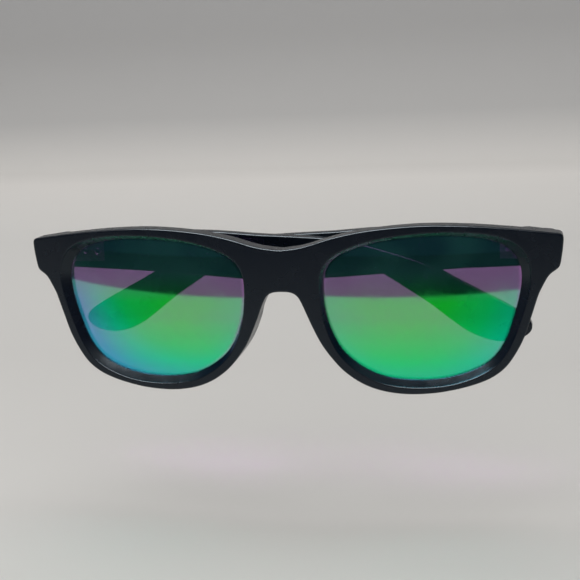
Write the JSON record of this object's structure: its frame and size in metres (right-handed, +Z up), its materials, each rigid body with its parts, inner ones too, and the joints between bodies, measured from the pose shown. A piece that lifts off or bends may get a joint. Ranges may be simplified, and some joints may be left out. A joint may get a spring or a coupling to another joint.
{
  "type": "sunglasses",
  "caption": "Full-rim plastic sunglasses, folded, with mirrored lenses, moulded nose pads and two hinged temples that curve down behind the ear.",
  "frame": {"origin": "top of the nose arch, on the middle line, halfway through the thickness of the bridge", "axes": "+Z up, the front looks along -Y, +X towards the wearer's left; the temples fold behind the front, on its +Y side"},
  "size_m": [0.1442, 0.0255, 0.0447],
  "materials": {
    "frame_plastic": "satin black, moulded",
    "mirror_lens": "green mirror coat on a tinted lens",
    "core_wire": "plain",
    "hinge_metal": "satin",
    "screw_steel": "satin"
  },
  "bodies": {
    "front_body": {"front_frame": "frame_plastic", "right_lens": "mirror_lens", "left_lens": "mirror_lens", "right_front_leaf": "hinge_metal", "left_front_leaf": "hinge_metal", "right_hinge_screw": "screw_steel", "left_hinge_screw": "screw_steel", "right_front_leaf_screws": "screw_steel", "left_front_leaf_screws": "screw_steel"},
    "right_temple_body": {"right_temple": "frame_plastic", "right_core_wire": "core_wire", "right_temple_leaf": "hinge_metal", "right_temple_leaf_screws": "screw_steel"},
    "left_temple_body": {"left_temple": "frame_plastic", "left_core_wire": "core_wire", "left_temple_leaf": "hinge_metal", "left_temple_leaf_screws": "screw_steel"}
  },
  "joints": [
    {"name": "right_temple_hinge", "type": "hinge", "parent": "front_body", "child": "right_temple_body", "pos_m": [-0.0669, 0.0142, 0.00799], "axis": [0, 0, 1], "range_deg": [0, 96]},
    {"name": "left_temple_hinge", "type": "hinge", "parent": "front_body", "child": "left_temple_body", "pos_m": [0.0669, 0.0142, 0.00799], "axis": [0, 0, -1], "range_deg": [0, 96]}
  ]
}
